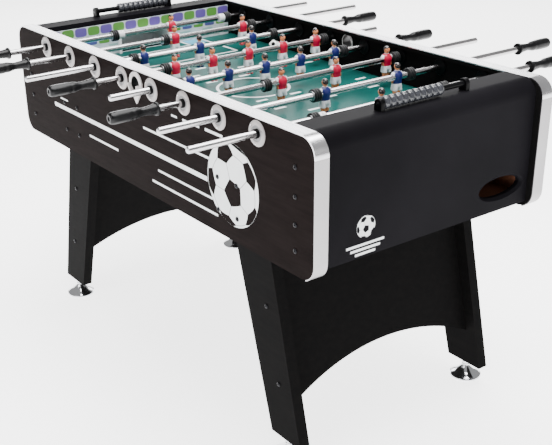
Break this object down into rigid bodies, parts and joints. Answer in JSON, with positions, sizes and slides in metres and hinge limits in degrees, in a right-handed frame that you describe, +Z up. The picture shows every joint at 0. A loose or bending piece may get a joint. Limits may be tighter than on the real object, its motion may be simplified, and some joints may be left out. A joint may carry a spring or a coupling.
{
  "type": "foosball table",
  "caption": "Full-size foosball table with dark sides, silver trims, splayed legs and sliding, turning chrome rods with red and blue players.",
  "frame": {"origin": "on the floor, under the middle of the whole table with its rods as they stand at rest; the cabinet's own middle is 74.5 mm nearer (-Y)", "axes": "+X along the table towards the end with its ball return on the far side, +Y across it along the rods, +Z up"},
  "size_m": [1.45, 1.401, 0.9115],
  "materials": {
    "laminate": "satin dark laminate",
    "trim": "brushed anodised",
    "corner_cap": "polished",
    "end_board": "satin black film",
    "goal_print": "printed film",
    "white_plastic": "gloss",
    "pitch": "printed teal film",
    "raw_board": "raw fibreboard",
    "cream_plastic": "moulded",
    "black_plastic": "moulded black",
    "dark_steel": "blackened",
    "foot_chrome": "polished",
    "bead": "moulded grey",
    "ball": "white with black spots",
    "rod_chrome": "polished tube",
    "red_players": "painted toy figure",
    "blue_players": "painted toy figure",
    "grip": "gloss black",
    "bumper_rubber": "ribbed"
  },
  "bodies": {
    "table": {"side_panel_near": "laminate", "side_panel_far": "laminate", "top_trims": "trim", "corner_caps": "corner_cap", "end_strips": "trim", "end_panel_right": "end_board", "end_panel_left": "end_board", "goal_boards": "goal_print", "goal_frames": "white_plastic", "playfield": "pitch", "playfield_battens": "raw_board", "floor_panel": "laminate", "ball_chutes": "raw_board", "ball_entry_cups": "cream_plastic", "rod_plates": "cream_plastic", "rod_bushes": "black_plastic", "scorer_bars": "black_plastic", "leg_boards_right": "laminate", "leg_boards_left": "laminate", "leg_cross_panels": "laminate", "bolts": "dark_steel"},
    "levelling_foot_right_near": {"levelling_foot_right_near": "foot_chrome"},
    "levelling_foot_right_far": {"levelling_foot_right_far": "foot_chrome"},
    "levelling_foot_left_near": {"levelling_foot_left_near": "foot_chrome"},
    "levelling_foot_left_far": {"levelling_foot_left_far": "foot_chrome"},
    "scorer_beads_right": {"scorer_beads_right": "bead"},
    "scorer_beads_left": {"scorer_beads_left": "bead"},
    "ball": {"ball": "ball"},
    "rod_1_stops": {"rod_1_bumpers": "bumper_rubber"},
    "rod_1": {"rod_1_tube": "rod_chrome", "rod_1_players": "red_players", "rod_1_handle": "grip"},
    "rod_2_stops": {"rod_2_bumpers": "bumper_rubber"},
    "rod_2": {"rod_2_tube": "rod_chrome", "rod_2_players": "red_players", "rod_2_handle": "grip"},
    "rod_3_stops": {"rod_3_bumpers": "bumper_rubber"},
    "rod_3": {"rod_3_tube": "rod_chrome", "rod_3_players": "blue_players", "rod_3_handle": "grip"},
    "rod_4_stops": {"rod_4_bumpers": "bumper_rubber"},
    "rod_4": {"rod_4_tube": "rod_chrome", "rod_4_players": "red_players", "rod_4_handle": "grip"},
    "rod_5_stops": {"rod_5_bumpers": "bumper_rubber"},
    "rod_5": {"rod_5_tube": "rod_chrome", "rod_5_players": "blue_players", "rod_5_handle": "grip"},
    "rod_6_stops": {"rod_6_bumpers": "bumper_rubber"},
    "rod_6": {"rod_6_tube": "rod_chrome", "rod_6_players": "red_players", "rod_6_handle": "grip"},
    "rod_7_stops": {"rod_7_bumpers": "bumper_rubber"},
    "rod_7": {"rod_7_tube": "rod_chrome", "rod_7_players": "blue_players", "rod_7_handle": "grip"},
    "rod_8_stops": {"rod_8_bumpers": "bumper_rubber"},
    "rod_8": {"rod_8_tube": "rod_chrome", "rod_8_players": "blue_players", "rod_8_handle": "grip"}
  },
  "joints": [
    {"name": "levelling_foot_right_near_turn", "type": "hinge", "parent": "table", "child": "levelling_foot_right_near", "pos_m": [0.571, -0.391, 0.05], "axis": [0, 0, 1], "continuous": true},
    {"name": "levelling_foot_right_far_turn", "type": "hinge", "parent": "table", "child": "levelling_foot_right_far", "pos_m": [0.571, 0.242, 0.05], "axis": [0, 0, 1], "continuous": true},
    {"name": "levelling_foot_left_near_turn", "type": "hinge", "parent": "table", "child": "levelling_foot_left_near", "pos_m": [-0.571, -0.391, 0.05], "axis": [0, 0, 1], "continuous": true},
    {"name": "levelling_foot_left_far_turn", "type": "hinge", "parent": "table", "child": "levelling_foot_left_far", "pos_m": [-0.571, 0.242, 0.05], "axis": [0, 0, 1], "continuous": true},
    {"name": "scorer_beads_right_slide", "type": "slide", "parent": "table", "child": "scorer_beads_right", "axis": [0, 1, 0], "range_m": [0, 0.071]},
    {"name": "scorer_beads_left_slide", "type": "slide", "parent": "table", "child": "scorer_beads_left", "axis": [0, 1, 0], "range_m": [-0.071, 0]},
    {"name": "ball_roll", "type": "slide", "parent": "table", "child": "ball", "axis": [0, 1, 0], "range_m": [-0.625, 0.025]},
    {"name": "rod_1_slide", "type": "slide", "parent": "table", "child": "rod_1_stops", "axis": [0, 1, 0], "range_m": [-0.1835, 0.0535]},
    {"name": "rod_1_spin", "type": "hinge", "parent": "rod_1_stops", "child": "rod_1", "pos_m": [-0.525, -0.0095, 0.845], "axis": [0, 1, 0], "continuous": true},
    {"name": "rod_2_slide", "type": "slide", "parent": "table", "child": "rod_2_stops", "axis": [0, 1, 0], "range_m": [-0.2725, 0.0605]},
    {"name": "rod_2_spin", "type": "hinge", "parent": "rod_2_stops", "child": "rod_2", "pos_m": [-0.375, 0.0315, 0.845], "axis": [0, 1, 0], "continuous": true},
    {"name": "rod_3_slide", "type": "slide", "parent": "table", "child": "rod_3_stops", "axis": [0, 1, 0], "range_m": [-0.0795, 0.0875]},
    {"name": "rod_3_spin", "type": "hinge", "parent": "rod_3_stops", "child": "rod_3", "pos_m": [-0.225, -0.0785, 0.845], "axis": [0, 1, 0], "continuous": true},
    {"name": "rod_4_slide", "type": "slide", "parent": "table", "child": "rod_4_stops", "axis": [0, 1, 0], "range_m": [-0.0905, 0.0145]},
    {"name": "rod_4_spin", "type": "hinge", "parent": "rod_4_stops", "child": "rod_4", "pos_m": [-0.075, -0.0365, 0.845], "axis": [0, 1, 0], "continuous": true},
    {"name": "rod_5_slide", "type": "slide", "parent": "table", "child": "rod_5_stops", "axis": [0, 1, 0], "range_m": [-0.0385, 0.0665]},
    {"name": "rod_5_spin", "type": "hinge", "parent": "rod_5_stops", "child": "rod_5", "pos_m": [0.075, -0.0885, 0.845], "axis": [0, 1, 0], "continuous": true},
    {"name": "rod_6_slide", "type": "slide", "parent": "table", "child": "rod_6_stops", "axis": [0, 1, 0], "range_m": [-0.2035, 0.0075]},
    {"name": "rod_6_spin", "type": "hinge", "parent": "rod_6_stops", "child": "rod_6", "pos_m": [0.225, 0.0235, 0.845], "axis": [0, 1, 0], "continuous": true},
    {"name": "rod_7_slide", "type": "slide", "parent": "table", "child": "rod_7_stops", "axis": [0, 1, 0], "range_m": [-0.2415, 0.0955]},
    {"name": "rod_7_spin", "type": "hinge", "parent": "rod_7_stops", "child": "rod_7", "pos_m": [0.375, -0.0015, 0.845], "axis": [0, 1, 0], "continuous": true},
    {"name": "rod_8_slide", "type": "slide", "parent": "table", "child": "rod_8_stops", "axis": [0, 1, 0], "range_m": [-0.1155, 0.1255]},
    {"name": "rod_8_spin", "type": "hinge", "parent": "rod_8_stops", "child": "rod_8", "pos_m": [0.525, -0.0795, 0.845], "axis": [0, 1, 0], "continuous": true}
  ]
}
